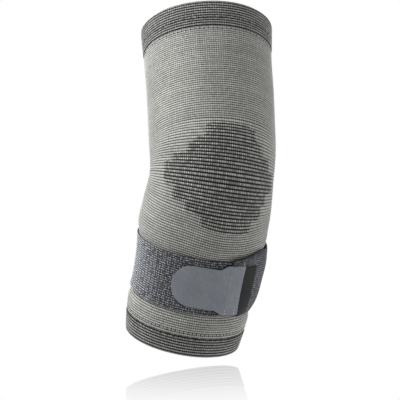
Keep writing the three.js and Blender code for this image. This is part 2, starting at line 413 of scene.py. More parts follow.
class StrapSettings(bpy.types.PropertyGroup):
    """Sizes and colours of the strap and its pile"""

    rib_relief: length("Rib relief", "Height of the strap's ribs", 0.25)
    column_spacing: length("Column spacing", "Distance between columns of loops round the arm", 3.7)
    loop_rise: length("Loop rise", "Height of the loops of the pile", 0.8)
    ground: colour("Ground", "Ground of the strap under the pile", 58, 60, 66)
    # Painted sheen: the ground is paler towards the left flank
    sheen_painted_ground: colour("Sheen-painted ground", "Ground under the paler pile on the left", 100, 104, 110)
    groove: colour("Groove", "Bare strap between its ribs", 47, 49, 53)
    rib: colour("Rib", "Ribs of the bare strap", 78, 80, 84)
    loop_dark: colour("Dark loop", "Darkest loops of the pile", 73, 76, 83)
    loop_light: colour("Light loop", "Lightest loops of the pile", 242, 246, 250)


class TabSettings(bpy.types.PropertyGroup):
    """Colours of the hook tab, its thread and the label"""

    tab: colour("Tab", "Face of the hook tab", 145, 149, 154)
    tab_cool: colour("Cool tab", "Cooler patches of the hook tab's face", 139, 142, 153)
    thread: colour("Thread", "Sewing thread along the tab", 150, 152, 156)
    bare_thread: colour("Bare thread", "Sewing thread where it shows white", 225, 226, 228)
    label: colour("Label", "Plain woven label", 24, 25, 27)
    label_crown: colour("Label crown", "Paler threads of the label's weave", 40, 41, 45)


class StageSettings(bpy.types.PropertyGroup):
    """Camera, floor and lights"""

    azimuth: rotation("Azimuth", "Camera's turn round the arm", -19.9)
    roll: rotation("Roll", "Camera's roll", 5.3)
    distance: length("Distance", "Camera's distance from the middle of the view", 1100)
    frame_width: length("Frame width", "Width of the view at that distance", 280)
    floor_gap: length("Floor gap", "Floor's distance below the support", 3.1)
    studio: amount("Studio", "Brightness of the studio all round", 0.44)
    key: amount("Key", "Brightness of the soft light high on the left", 1.48)
    fill: amount("Fill", "Brightness of the soft light low on the right", 1.45)
    spread: amount("Spread", "How fast both lights fade off their axis", 4.0)
    key_side: direction("Key side", "Where the light on the left stands", (-0.697, 0.717, -0.021))
    fill_side: direction("Fill side", "Where the light on the right stands", (0.734, -0.519, -0.437))
    box_size: length("Soft box size", "Diameter of the round soft box beside the upper arm", 300)
    box_power: FloatProperty(
        name="Soft box power", description="Power of the soft box", default=0.91, unit="POWER"
    )
    box_place: FloatVectorProperty(
        name="Soft box place",
        description="Where the soft box is, right, up and towards the camera from the view's middle",
        subtype="TRANSLATION",
        size=3,
        default=(-0.25, 0.25, 0.05),
    )


def smooth_column(table, along, value):
    """A smooth curve through one column of a table, as a function of another column."""
    places = [row[along] for row in table]
    values = [row[value] for row in table]
    spans = [b - a for a, b in zip(places, places[1:])]
    secants = [(b - a) / span for a, b, span in zip(values, values[1:], spans)]
    inner = [(a + b) / 2 for a, b in zip(secants, secants[1:])]
    slopes = [secants[0]] + inner + [secants[-1]]

    def at(place):
        k = min(max(bisect.bisect_right(places, place) - 1, 0), len(spans) - 1)
        span = spans[k]
        t = (place - places[k]) / span
        rest = 1 - t
        start = rest * rest * (values[k] * (1 + 2 * t) + slopes[k] * span * t)
        end = t * t * (values[k + 1] * (1 + 2 * rest) - slopes[k + 1] * span * rest)
        return start + end

    return at


knit_radius = smooth_column(SECTIONS, "station", "radius")
side_station = smooth_column(ROWS, "row", "station")
strap_top = smooth_column(STRAP_PATH, "angle", "top")
strap_bottom = smooth_column(STRAP_PATH, "angle", "bottom")
strap_lift = smooth_column(STRAP_PATH, "angle", "lift")
strap_crown = smooth_column(STRAP_PATH, "angle", "crown")


def lerp(a, b, t):
    """A value at a fraction of the way from one to another."""
    return a + (b - a) * t


def smoothstep(value, low, high):
    """A smooth step from 0 to 1 between two values."""
    t = min(max((value - low) / (high - low), 0), 1)
    return t * t * (3 - 2 * t)


def on_arm(station, angle, radius):
    """The point at a station and angle, at a distance in millimetres from the centreline."""
    arc = min(max(station, -FOREARM_TILT * BEND_RADIUS), UPPER_TILT * BEND_RADIUS)
    tilt = arc / BEND_RADIUS
    straight = station - arc
    sine = math.sin(tilt)
    cosine = math.cos(tilt)
    turn = math.radians(angle)
    outwards = radius * math.cos(turn)
    y = BEND_RADIUS * (1 - cosine) + straight * sine - outwards * cosine
    z = BEND_RADIUS * sine + straight * cosine + outwards * sine
    return Vector((radius * math.sin(turn), y, z)) * MM


def seat(station, angle, radius, turn=0.0):
    """A frame on the arm at that point: X round the arm, Y along it and Z outwards, turned about Z."""
    step = 0.01
    place = on_arm(station, angle, radius)
    round_arm = (on_arm(station, angle + step, radius) - place).normalized()
    along = (on_arm(station + step, angle, radius) - place).normalized()
    outwards = round_arm.cross(along).normalized()
    along = outwards.cross(round_arm)
    axes = Matrix((round_arm, along, outwards)).transposed().to_4x4()
    return Matrix.Translation(place) @ axes @ Matrix.Rotation(turn, 4, "Z")


def peak(value):
    """Height of a row of evenly spaced ridges: 0 at whole numbers and 1 half-way between."""
    return 1 - abs(2 * (value - math.floor(value)) - 1)


def wale_at(angle):
    """Wale number at an angle, whole at the edges of wales."""
    return angle / WALE_ANGLE


def row_station(row, angle):
    """Station of a knitted row of the sleeve at an angle round the arm."""
    below = min(max((BOW_TOP_ROW - row) / (BOW_TOP_ROW - BOW_FULL_ROW), 0), 1)
    fade = below * min(row / BOW_FULL_ROW, 1)
    bow = BOW_DEPTH * fade * (1 - smoothstep(abs(angle - BOW_CENTRE), BOW_CENTRE, BOW_REACH))
    near = 1 - smoothstep(abs(row - LEAN_ROW), 0, LEAN_REACH)
    lean = ROW_LEAN * near * math.sin(math.radians(angle))
    return side_station(row) - bow - lean


def panel_inset(angle, row):
    """How many wales a spot lies inside the elbow panel's edge, less than nothing outside the panel."""
    number = round(row)
    for step in PANEL_STEPS:
        if step["first"] <= number <= step["last"]:
            return min(angle - step["left"], step["right"] - angle) / WALE_ANGLE
    return -1.0


def swell(station, angle, settings):
    """Slow unevenness of the knit and the fuller side of the elbow, in millimetres."""
    turn = math.radians(angle)
    around = PATCHES["round"]
    spot = Vector((around * math.sin(turn), around * math.cos(turn), station / PATCHES["along"]))
    rising = smoothstep(station, BULGE_ENDS["low"], BULGE_ENDS["full_low"])
    falling = 1 - smoothstep(station, BULGE_ENDS["full_high"], BULGE_ENDS["high"])
    round_arm = 1 - smoothstep(abs(angle - BULGE["angle"]), 0, BULGE["reach"])
    return settings.unevenness / MM * noise.noise(spot) + BULGE["height"] * rising * falling * round_arm


def stitch_relief(row, wale, height):
    """Relief of a knitted stitch: a ridge along its row, beaded by the wales."""
    return height * peak(row) * lerp(RIDGE_SHARE, 1, peak(wale))


def rolled_grid(columns, lines, place, course, keep=None, inset=None, weld=True):
    """A flat grid of cloth with a map of its courses, rolled into place, as a new bmesh.

    place gives the point, course the place on the map as (wale, row), keep whether a face stays, and
    inset a point's distance from the cloth's edge, each for a count of columns and lines from the
    grid's corner.
    """
    bm = bmesh.new()
    courses = bm.loops.layers.uv.new(COURSE_MAP)
    inset_layer = bm.verts.layers.float.new(INSET) if inset else None
    bmesh.ops.create_grid(bm, x_segments=columns, y_segments=lines, size=0.5)

    def flat(co):
        return (co.x + 0.5) * columns, (co.y + 0.5) * lines

    if keep is not None:
        spare = [face for face in bm.faces if not keep(*flat(face.calc_center_median()))]
        bmesh.ops.delete(bm, geom=spare, context="FACES")
    for face in bm.faces:
        for loop in face.loops:
            column, line = flat(loop.vert.co)
            loop[courses].uv = course(round(column), round(line))
    for vert in bm.verts:
        column, line = flat(vert.co)
        vert.co = place(round(column), round(line))
        if inset:
            vert[inset_layer] = inset(round(column), round(line))
    if weld:
        bmesh.ops.remove_doubles(bm, verts=bm.verts, dist=WELD)
    return bm


def add_piece(name, bm, material, nodes=()):
    """Makes a bmesh a smooth piece of the support, riding on its one body."""
    mesh = bpy.data.meshes.new(name)
    bm.to_mesh(mesh)
    bm.free()
    mesh.shade_smooth()
    mesh.materials.append(material)
    piece = bpy.data.objects.new(name, mesh)
    bpy.context.scene.collection.objects.link(piece)
    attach(piece, BODY)
    if nodes:
        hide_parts(*nodes)
    return piece


def add_wall(piece, thickness):
    """Gives a sheet its thickness, inwards from its face."""
    wall = piece.modifiers.new("wall", "SOLIDIFY")
    wall.thickness = thickness
    wall.offset = -1


def soften_edges(piece, width, segments=2):
    """Rounds the cut edges of a walled sheet."""
    bevel = piece.modifiers.new("soft edge", "BEVEL")
    bevel.width = width
    bevel.segments = segments
    bevel.limit_method = "ANGLE"
    bevel.angle_limit = CUT_EDGE_ANGLE


def stamped(shape, places, tones):
    """One bmesh that repeats a small shape at each place, and keeps each copy's tone.

    The shape's corners and faces are sorted, because the order in which operators leave them varies.
    A quad may start at either end of its diagonal, which stays the same.
    """
    corners = sorted(shape.verts, key=lambda corner: [round(value / WELD) for value in corner.co])
    for number, corner in enumerate(corners):
        corner.index = number
    faces = []
    for face in shape.faces:
        ring = [corner.index for corner in face.verts]
        first = ring.index(min(ring[::2]))
        faces.append(ring[first:] + ring[:first])
    faces.sort()
    bm = bmesh.new()
    tone_layer = bm.verts.layers.float.new(TONE)
    for place, tone in zip(places, tones):
        verts = [bm.verts.new(place @ corner.co) for corner in corners]
        for vert in verts:
            vert[tone_layer] = tone
        for face in faces:
            bm.faces.new([verts[number] for number in face])
    shape.free()
    return bm


def stitch_shape(stitch_length, width, thickness):
    """A small spindle of thread, lying along X."""
    bm = bmesh.new()
    bmesh.ops.create_uvsphere(bm, u_segments=6, v_segments=5, radius=0.5 * MM)
    bmesh.ops.rotate(bm, verts=bm.verts, cent=(0, 0, 0), matrix=Matrix.Rotation(math.pi / 2, 3, "Y"))
    bmesh.ops.scale(bm, verts=bm.verts, vec=(stitch_length, width, thickness))
    return bm


# Shader helpers


def feed(tree, socket, value):
    """Links a node's output to a socket, or sets the socket's own value."""
    if isinstance(value, bpy.types.NodeSocket):
        tree.links.new(value, socket)
    else:
        socket.default_value = value


def node(tree, kind, inputs=None, **settings):
    """A new node with its settings and inputs."""
    made = tree.nodes.new(kind)
    for name, value in settings.items():
        setattr(made, name, value)
    for key, value in (inputs or {}).items():
        feed(tree, made.inputs[key], value)
    return made


def calc(tree, operation, *values):
    """The result of a Math node."""
    made = tree.nodes.new("ShaderNodeMath")
    made.operation = operation
    for socket, value in zip(made.inputs, values):
        feed(tree, socket, value)
    return made.outputs[0]


def ease(tree, value, low, high, to_low=0.0, to_high=1.0):
    """A value eased from one range to another."""
    inputs = {"Value": value, "From Min": low, "From Max": high, "To Min": to_low, "To Max": to_high}
    return node(tree, "ShaderNodeMapRange", inputs, interpolation_type="SMOOTHSTEP").outputs[0]


def blend(tree, factor, first, second, mode="MIX"):
    """Two colours mixed, by the sockets for colours, which follow those for numbers and vectors."""
    made = node(tree, "ShaderNodeMix", data_type="RGBA", blend_type=mode)
    for socket, value in zip(MIX_COLOUR_INPUTS, (factor, first, second)):
        feed(tree, made.inputs[socket], value)
    return made.outputs[MIX_COLOUR_OUTPUT]


def new_group(name, inputs, outputs):
    """An empty node group with named sockets, and its input and output nodes."""
    kinds = {"value": "NodeSocketFloat", "vector": "NodeSocketVector"}
    tree = bpy.data.node_groups.new(name, "ShaderNodeTree")
    for label, kind in inputs.items():
        tree.interface.new_socket(name=label, in_out="INPUT", socket_type=kinds[kind])
    for label, kind in outputs.items():
        tree.interface.new_socket(name=label, in_out="OUTPUT", socket_type=kinds[kind])
    return tree, tree.nodes.new("NodeGroupInput"), tree.nodes.new("NodeGroupOutput")


def use_group(tree, name, inputs):
    """A group placed in a material, with its own values."""
    made = tree.nodes.new("ShaderNodeGroup")
    made.node_tree = bpy.data.node_groups[name]
    for key, value in inputs.items():
        feed(tree, made.inputs[key], value)
    return made


def stitches_group():
    """Masks of knitted stitches from a course map: rows, crowns and a chance tone for each stitch."""
    inputs = {"Courses": "vector", "Valley": "value", "Softness": "value"}
    masks = ["Row", "Bead", "Crown", "Chance", "Row chance", "Height"]
    tree, start, end = new_group(STITCHES, inputs, {mask: "value" for mask in masks})
    split = node(tree, "ShaderNodeSeparateXYZ", {"Vector": start.outputs["Courses"]})
    wale = split.outputs["X"]
    row = split.outputs["Y"]
    row_number = calc(tree, "FLOOR", row)
    ridge = calc(tree, "MULTIPLY", calc(tree, "PINGPONG", row, 0.5), 2.0)
    bead = calc(tree, "MULTIPLY", calc(tree, "PINGPONG", wale, 0.5), 2.0)
    top = calc(tree, "ADD", start.outputs["Valley"], start.outputs["Softness"])
    row_mask = ease(tree, ridge, start.outputs["Valley"], top)
    bead_mask = ease(tree, bead, *BEAD_EDGES)
    crown = calc(tree, "MULTIPLY", row_mask, bead_mask)
    cell = node(tree, "ShaderNodeCombineXYZ", {"X": calc(tree, "FLOOR", wale), "Y": row_number})
    chance = node(tree, "ShaderNodeTexWhiteNoise", {"Vector": cell.outputs[0]}, noise_dimensions="2D")
    row_chance = node(tree, "ShaderNodeTexWhiteNoise", {"W": row_number}, noise_dimensions="1D")
    ridge_height = calc(tree, "MULTIPLY", ridge, 1 - CROWN_SHARE)
    height = calc(tree, "MULTIPLY_ADD", crown, CROWN_SHARE, ridge_height)
    results = [row_mask, bead_mask, crown, chance.outputs["Value"], row_chance.outputs["Value"], height]
    for mask, result in zip(masks, results):
        tree.links.new(result, end.inputs[mask])


def fuzz_group():
    """Fine and broad mottling of yarn, from the piece's own coordinates in metres."""
    inputs = {"Fine size": "value", "Broad size": "value"}
    tree, start, end = new_group(FUZZ, inputs, {"Fine": "value", "Broad": "value"})
    place = tree.nodes.new("ShaderNodeTexCoord").outputs["Object"]
    for label, detail in (("Fine", 2.0), ("Broad", 1.0)):
        scale = calc(tree, "DIVIDE", 1.0, start.outputs[label + " size"])
        mottle = node(tree, "ShaderNodeTexNoise", {"Vector": place, "Scale": scale, "Detail": detail})
        tree.links.new(ease(tree, mottle.outputs[0], *FUZZ_EDGES), end.inputs[label])


def new_material(name, roughness, sheen=0.0):
    """A cloth material: its tree and its shader."""
    material = bpy.data.materials.new(name)
    material.use_nodes = True
    tree = material.node_tree
    shader = tree.nodes["Principled BSDF"]
    shader.inputs["Roughness"].default_value = roughness
    shader.inputs["Specular IOR Level"].default_value = CLOTH_SPECULAR
    shader.inputs["Sheen Weight"].default_value = sheen
    shader.inputs["Sheen Roughness"].default_value = SHEEN_ROUGHNESS
    return material, tree, shader


def add_bump(tree, shader, height, strength, depth):
    """Feeds a height into the shader's normal, with its depth in millimetres."""
    inputs = {"Height": height, "Strength": strength, "Distance": depth * MM}
    bump = node(tree, "ShaderNodeBump", inputs)
    tree.links.new(bump.outputs[0], shader.inputs["Normal"])


def shade(tree, base, value, low, high):
    """A colour made darker or lighter by a mask that runs from 0 to 1."""
    level = ease(tree, value, 0.0, 1.0, low, high)
    grey = node(tree, "ShaderNodeCombineColor", {"Red": level, "Green": level, "Blue": level})
    return blend(tree, 1.0, base, grey.outputs[0], "MULTIPLY")


def vary(tree, base, value, spread):
    """A colour made darker and lighter by the same share as a mask runs from 0 to 1."""
    return shade(tree, base, value, 1 - spread, 1 + spread)


def course_map(tree):
    """The place of every point on its cloth, as wale and row."""
    return node(tree, "ShaderNodeUVMap", uv_map=COURSE_MAP).outputs[0]


def fuzzy_height(tree, stitches, fuzz, share):
    """Height of the stitches, with a share of the yarn's fuzz on it."""
    return calc(tree, "MULTIPLY_ADD", fuzz.outputs["Fine"], share, stitches.outputs["Height"])


def knit_material(name, yarns, valley, softness, spread, bridge, relief, sheen, edge_yarn=None):
    """Knitted yarn in three tones: valleys, rows and the crowns of stitches.

    valley and softness set the width and the blur of the valleys, spread how much the crowns differ,
    and bridge how far some stitches reach across the valleys. With an edge yarn, the valleys narrow
    towards the knit's edge and its rows take on that yarn. The tree, the shader and the yarn's colour
    are returned with the material, for a knit that adds to them.
    """
    valley_yarn, rib_yarn, stitch_yarn = yarns
    material, tree, shader = new_material(name, KNIT_ROUGHNESS, sheen)
    courses = course_map(tree)
    if edge_yarn is not None:
        inset = node(tree, "ShaderNodeAttribute", attribute_name=INSET).outputs["Fac"]
        valley = ease(tree, inset, 0.0, TAPER_WALES, EDGE_VALLEY, valley)
        rib_yarn = blend(tree, ease(tree, inset, 0.0, TAPER_WALES), edge_yarn, rib_yarn)
    stitches = use_group(tree, STITCHES, {"Courses": courses, "Valley": valley, "Softness": softness})
    fuzz = use_group(tree, FUZZ, {"Fine size": 0.0005, "Broad size": 0.02})
    chance = ease(tree, stitches.outputs["Chance"], 0.0, 1.0, 1.0 - spread, 1.0)
    bridged = calc(tree, "MULTIPLY", calc(tree, "MULTIPLY", stitches.outputs["Bead"], chance), bridge)
    gap = blend(tree, bridged, valley_yarn, rib_yarn)
    rows = blend(tree, stitches.outputs["Row"], gap, rib_yarn)
    crown = calc(tree, "MULTIPLY", stitches.outputs["Crown"], chance)
    yarn = blend(tree, crown, rows, stitch_yarn)
    yarn = vary(tree, yarn, stitches.outputs["Row chance"], spread=0.07)
    yarn = vary(tree, yarn, fuzz.outputs["Fine"], spread=0.12)
    yarn = vary(tree, yarn, fuzz.outputs["Broad"], spread=0.05)
    tree.links.new(yarn, shader.inputs["Base Color"])
    height = fuzzy_height(tree, stitches, fuzz, share=0.25)
    add_bump(tree, shader, height, strength=0.6, depth=relief)
    return material, tree, shader, yarn


def welt_material(welt, settings):
    """Striped knit of a welt, with one mottled row where the fold is linked down."""
    yarns = settings.welt_valley, settings.welt_rib, settings.welt_stitch
    name = welt["name"].replace("_", " ") + " knit"
    material, tree, shader, yarn = knit_material(name, yarns, welt["valley"], **WELT_LOOK)
    courses = course_map(tree)
    row = node(tree, "ShaderNodeSeparateXYZ", {"Vector": courses}).outputs["Y"]
    away = calc(tree, "ABSOLUTE", calc(tree, "SUBTRACT", row, LINK_ROW))
    band = ease(tree, away, LINK_BAND["full"], LINK_BAND["none"], LINK_BAND["share"], 0.0)
    patches = {"Vector": courses, "Scale": LINK_BAND["scale"], "Detail": 1.0}
    mottle = node(tree, "ShaderNodeTexNoise", patches).outputs[0]
    linked = calc(tree, "MULTIPLY", band, ease(tree, mottle, *LINK_BAND["edges"]))
    yarn = blend(tree, linked, yarn, settings.welt_valley)
    tree.links.new(yarn, shader.inputs["Base Color"])
    return material


def toned_material(name, dark, light, roughness, sheen=0.0):
    """Thread whose copies have tones of their own."""
    material, tree, shader = new_material(name, roughness, sheen)
    tone = node(tree, "ShaderNodeAttribute", attribute_name=TONE).outputs["Fac"]
    fuzz = use_group(tree, FUZZ, {"Fine size": 0.0004, "Broad size": 0.015})
    yarn = blend(tree, tone, dark, light)
    yarn = vary(tree, yarn, fuzz.outputs["Fine"], spread=0.15)
    tree.links.new(yarn, shader.inputs["Base Color"])
    add_bump(tree, shader, fuzz.outputs["Fine"], strength=0.4, depth=0.1)
    return material


# Pieces


def knit_sheet(angles, rows, knit, relief, settings):
    """The sleeve's plain knit or its panel's, between two angles and two rows, as a new bmesh."""
    left, right = angles
    first_row, last_row = rows
    all_round = right - left == 360
    columns = round((right - left) / COLUMN_ANGLE)
    lines = round((last_row - first_row) * knit["lines"])
    height = relief / MM

    def spot(column, line):
        return left + column * COLUMN_ANGLE, first_row + line / knit["lines"]

    def place(column, line):
        angle, row = spot(column % columns if all_round else column, line)
        station = row_station(row, angle)
        rise = knit["rise"] + stitch_relief(row, wale_at(angle), height) - knit["sink"] * height
        return on_arm(station, angle, knit_radius(station) + rise + swell(station, angle, settings))

    def course(column, line):
        angle, row = spot(column, line)
        return wale_at(angle), row

    def inset(column, line):
        return panel_inset(*spot(column, line))

    def keep(column, line):
        return (inset(column, line) > 0) == knit["in_panel"]

    edge = inset if knit["in_panel"] else None
    return rolled_grid(columns, lines, place, course, keep, edge, weld=all_round)


class ELBOW_OT_sleeve(bpy.types.Operator):
    """Knit the plain sleeve in two halves, open where the elbow panel is"""

    bl_idname = "elbow.sleeve"
    bl_label = "Plain sleeve"

    def execute(self, context):
        settings = context.scene.elbow_knit
        yarns = settings.plain_valley, settings.plain_rib, settings.plain_stitch
        material = knit_material("plain knit", yarns, **PLAIN_LOOK)[0]
        angles = INSIDE_OF_ELBOW, INSIDE_OF_ELBOW + 360
        halves = {
            "sleeve_upper_half": (HALF_WAY_ROW, ALL_ROWS),
            "sleeve_lower_half": (0, HALF_WAY_ROW),
        }
        for name, rows in halves.items():
            bm = knit_sheet(angles, rows, PLAIN_KNIT, settings.plain_relief, settings)
            piece = add_piece(name, bm, material, ["sleeve"])
            add_wall(piece, settings.wall)
        return {"FINISHED"}


class ELBOW_OT_panel(bpy.types.Operator):
    """Knit the stepped panel over the elbow point"""

    bl_idname = "elbow.panel"
    bl_label = "Elbow panel"

    def execute(self, context):
        settings = context.scene.elbow_knit
        yarns = settings.panel_valley, settings.panel_rib, settings.panel_stitch
        material = knit_material("panel knit", yarns, edge_yarn=settings.plain_rib, **PANEL_LOOK)[0]
        left = min(step["left"] for step in PANEL_STEPS)
        right = max(step["right"] for step in PANEL_STEPS)
        rows = PANEL_STEPS[0]["first"] - HALF_ROW, PANEL_STEPS[-1]["last"] + HALF_ROW
        bm = knit_sheet((left, right), rows, PANEL_KNIT, settings.panel_relief, settings)
        piece = add_piece("elbow_panel_knit", bm, material, ["elbow_panel"])
        add_wall(piece, settings.wall)
        return {"FINISHED"}


def welt_profile(welt):
    """The welt's outline along the arm, from the body, over the fold, to the inside.

    Each point has a station, a radius, a knitted row, and the way its stitches rise, as a share along
    the arm and a share outwards.
    """
    outline = []

    def add_point(station, radius, row, along=0.0, out=1.0):
        outline.append({"station": station, "radius": radius, "row": row, "along": along, "out": out})

    towards_rim = math.copysign(1, welt["rim"] - welt["body"])
    fold_radius = WELT_WALL / 2
    fold_centre = welt["rim"] - towards_rim * fold_radius
    pitch = welt["pitch"]
    line_step = pitch / BOLD_LINES
    outer_lines = int(abs(fold_centre - welt["body"]) / line_step)
    for k in range(outer_lines):
        away = k * line_step
        station = welt["body"] + towards_rim * away
        face = knit_radius(station) + WELT_RISE * smoothstep(away, 0, WELT_SHOULDER)
        add_point(station, face, welt["first_row"] + k / BOLD_LINES)
    fold_row = welt["first_row"] + abs(fold_centre - welt["body"]) / pitch
    fold_middle = knit_radius(fold_centre) + WELT_RISE - fold_radius
    for k in range(FOLD_LINES + 1):
        turn = math.pi * k / FOLD_LINES
        station = fold_centre + towards_rim * fold_radius * math.sin(turn)
        face = fold_middle + fold_radius * math.cos(turn)
        row = fold_row + fold_radius * turn / pitch
        add_point(station, face, row, along=towards_rim * math.sin(turn), out=math.cos(turn))
    fold_rows = math.pi * fold_radius / pitch
    for k in range(1, INNER_LINES + 1):
        station = lerp(fold_centre, welt["body"], k / INNER_LINES)
        face = knit_radius(station) + WELT_RISE - WELT_WALL
        row = fold_row + fold_rows + abs(station - fold_centre) / pitch
        add_point(station, face, row, out=-1.0)
    outline.append(outline[0])
    return outline


def build_welt(welt, settings, material):
    """One folded welt: a closed ring whose outline is swept round the arm, plain on its inner face."""
    outline = welt_profile(welt)
    relief = settings.welt_relief / MM
    columns = round(360 / COLUMN_ANGLE)

    def angle_at(column):
        return INSIDE_OF_ELBOW + column * COLUMN_ANGLE

    def place(column, line):
        angle = angle_at(column % columns)
        point = outline[line]
        rise = stitch_relief(point["row"], wale_at(angle), relief) - WELT_SINK * relief
        if point["out"] < INNER_FACE:
            rise = 0
        radius = point["radius"] + point["out"] * rise + swell(welt["body"], angle, settings)
        return on_arm(point["station"] + point["along"] * rise, angle, radius)

    def course(column, line):
        row = outline[line]["row"]
        if line == len(outline) - 1:
            row = outline[line - 1]["row"] + 1
        return wale_at(angle_at(column)), row

    bm = rolled_grid(columns, len(outline) - 1, place, course)
    bmesh.ops.recalc_face_normals(bm, faces=bm.faces)
    return add_piece(welt["name"] + "_knit", bm, material, [welt["name"]])


class ELBOW_OT_welts(bpy.types.Operator):
    """Knit the folded welts at both openings"""

    bl_idname = "elbow.welts"
    bl_label = "Welts"

    def execute(self, context):
        settings = context.scene.elbow_knit
        for welt in WELTS:
            build_welt(welt, settings, welt_material(welt, settings))
        return {"FINISHED"}


class ELBOW_OT_linking(bpy.types.Operator):
    """Sew the dark linking stitches beside the welts"""

    bl_idname = "elbow.linking"
    bl_label = "Linking stitches"

    def execute(self, context):
        settings = context.scene.elbow_knit
        yarns = settings.linking, settings.plain_valley
        material = toned_material("linking yarn", *yarns, roughness=0.95)
        chance = random.Random(SEEDS["linking"])
        stray = LINKING["stray"]
        for welt in WELTS:
            places = []
            tones = []
            station = welt["dashes"]
            for k in range(0, 360, LINKING["step"]):
                angle = INSIDE_OF_ELBOW + k
                lean = math.radians(chance.uniform(*LINKING["lean"]))
                radius = knit_radius(station) + swell(station, angle, settings) + LINKING["lift"]
                places.append(seat(station + chance.uniform(-stray, stray), angle, radius, lean))
                tones.append(chance.random())
            bm = stamped(stitch_shape(**LINKING_STITCH), places, tones)
            add_piece(welt["name"] + "_linking", bm, material)
        return {"FINISHED"}


def strap_stand_off(angle, down):
    """Distance of the strap's inner face from the knit, at a fraction of the way down its width."""
    lift = max(0, strap_lift(angle))
    crown = max(0, strap_crown(angle))
    return GAP + lift + crown * (1 - abs(2 * down - 1) ** CROWN_POWER)


def strap_place(angle, down, height):
    """Station and radius on the strap, at a height above its inner face."""
    station = lerp(strap_top(angle), strap_bottom(angle), down)
    return station, knit_radius(station) + strap_stand_off(angle, down) + height


def lap_face(angle, station):
    """Height above the knit of the strap's outer face over the lap."""
    wound = angle - 360
    down = (strap_top(wound) - station) / (strap_top(wound) - strap_bottom(wound))
    return strap_stand_off(wound, min(max(down, 0), 1)) + STRAP_WALL


def strap_material(settings):
    """Elastic with ribs along its length, darker at its edges, and plain under the pile.

    The plain ground is painted paler towards the left flank as a painted sheen, and the top of the bare
    elastic is darker, a painted shadow of the knit's bulge above it.
    """
    material, tree, shader = new_material("loop fabric", roughness=0.95, sheen=0.1)
    courses = course_map(tree)
    stitches = use_group(tree, STITCHES, {"Courses": courses, "Valley": 0.1, "Softness": 0.6})
    fuzz = use_group(tree, FUZZ, {"Fine size": 0.0005, "Broad size": 0.02})
    split = node(tree, "ShaderNodeSeparateXYZ", {"Vector": courses})
    across = calc(tree, "DIVIDE", split.outputs["Y"], float(STRAP_RIBS))
    edge = calc(tree, "PINGPONG", across, 0.5)
    cloth = blend(tree, stitches.outputs["Row"], settings.groove, settings.rib)
    crown = calc(tree, "MULTIPLY", stitches.outputs["Crown"], stitches.outputs["Chance"])
    light = calc(tree, "MULTIPLY", crown, ELASTIC_LOOK["crowns"])
    cloth = blend(tree, light, cloth, settings.loop_light)
    # Painted shadow: the top of the bare elastic is darkened where the knit's bulge above it shades it
    cloth = shade(tree, cloth, ease(tree, across, *ELASTIC_LOOK["top"]), 1.0, ELASTIC_LOOK["top_painted_shadow"])
    column = split.outputs["X"]
    sewn_end, rest = PILE_PATCHES
    past_end = calc(tree, "GREATER_THAN", column, sewn_end["to"] / WALE_ANGLE)
    bare = calc(tree, "MULTIPLY", past_end, calc(tree, "LESS_THAN", column, rest["from"] / WALE_ANGLE))
    # Painted sheen: the plain ground grows paler towards the left flank
    from_side = calc(tree, "ABSOLUTE", calc(tree, "SUBTRACT", column, SHEEN_PAINTED_SIDE["angle"] / WALE_ANGLE))
    pale = ease(tree, from_side, 0.0, SHEEN_PAINTED_SIDE["reach"] / WALE_ANGLE, 1.0, 0.0)
    ground = blend(tree, pale, settings.ground, settings.sheen_painted_ground)
    cloth = blend(tree, bare, ground, cloth)
    cloth = shade(tree, cloth, ease(tree, edge, *ELASTIC_LOOK["edge"]), ELASTIC_LOOK["edge_shade"], 1.0)
    cloth = vary(tree, cloth, fuzz.outputs["Fine"], spread=0.18)
    cloth = vary(tree, cloth, fuzz.outputs["Broad"], spread=0.06)
    tree.links.new(cloth, shader.inputs["Base Color"])
    height = fuzzy_height(tree, stitches, fuzz, share=0.4)
    add_bump(tree, shader, height, strength=0.5, depth=0.4)
    return material


class ELBOW_OT_strap(bpy.types.Operator):
    """Wind the elastic strap round the forearm, lapped over itself"""

    bl_idname = "elbow.strap"
    bl_label = "Strap"

    def execute(self, context):
        settings = context.scene.elbow_strap
        first = STRAP_PATH[0]["angle"]
        last = STRAP_PATH[-1]["angle"]
        lines = STRAP_RIBS * RIB_LINES
        relief = settings.rib_relief / MM

        def place(column, line):
            angle = first + column * STRAP_COLUMN
            down = 1 - line / lines
            height = STRAP_FACE + relief * peak(line / RIB_LINES)
            station, radius = strap_place(angle, down, height)
            return on_arm(station, angle, radius)

        def course(column, line):
            return (first + column * STRAP_COLUMN) / WALE_ANGLE, line / RIB_LINES

        columns = round((last - first) / STRAP_COLUMN)
        bm = rolled_grid(columns, lines, place, course, weld=False)
        piece = add_piece("strap_elastic", bm, strap_material(settings), ["strap"])
        add_wall(piece, STRAP_BODY * MM)
        soften_edges(piece, STRAP_EDGE * MM)
        return {"FINISHED"}


def tab_half_width(angle):
    """Half of the tab's width at an angle, its round tip left out."""
    shoulder = smoothstep(angle, TAB_TONGUE["from"], TAB_BASE["to"])
    return lerp(TAB_TONGUE["half_width"], TAB_BASE["half_width"], shoulder)


def leaned(angle, station):
    """An angle moved by the lean of the tab's sewn edge."""
    sewn = smoothstep(angle, TAB_TONGUE["from"], LEAN_ANGLE)
    return angle + SEWN_LEAN * sewn * (LEAN_FROM - station)


def tab_arm():
    """Radius at which the tab's tongue lies."""
    return knit_radius(TAB_CENTRE) + 2 * GAP + STRAP_WALL


def under_tab(angle, station, margin):
    """Whether a spot on the strap is covered by the tab, or close to its edge."""
    if angle < INSIDE_OF_ELBOW:
        angle += 360
    if angle > TAB_BASE["from"]:
        return False
    tip = TAB_TONGUE["half_width"]
    from_tip = math.radians(angle - TAB_TONGUE["tip"]) * tab_arm()
    away = abs(station - TAB_CENTRE)
    if from_tip < tip:
        return math.hypot(tip - from_tip, away) < tip + margin
    return away < tab_half_width(angle) + margin


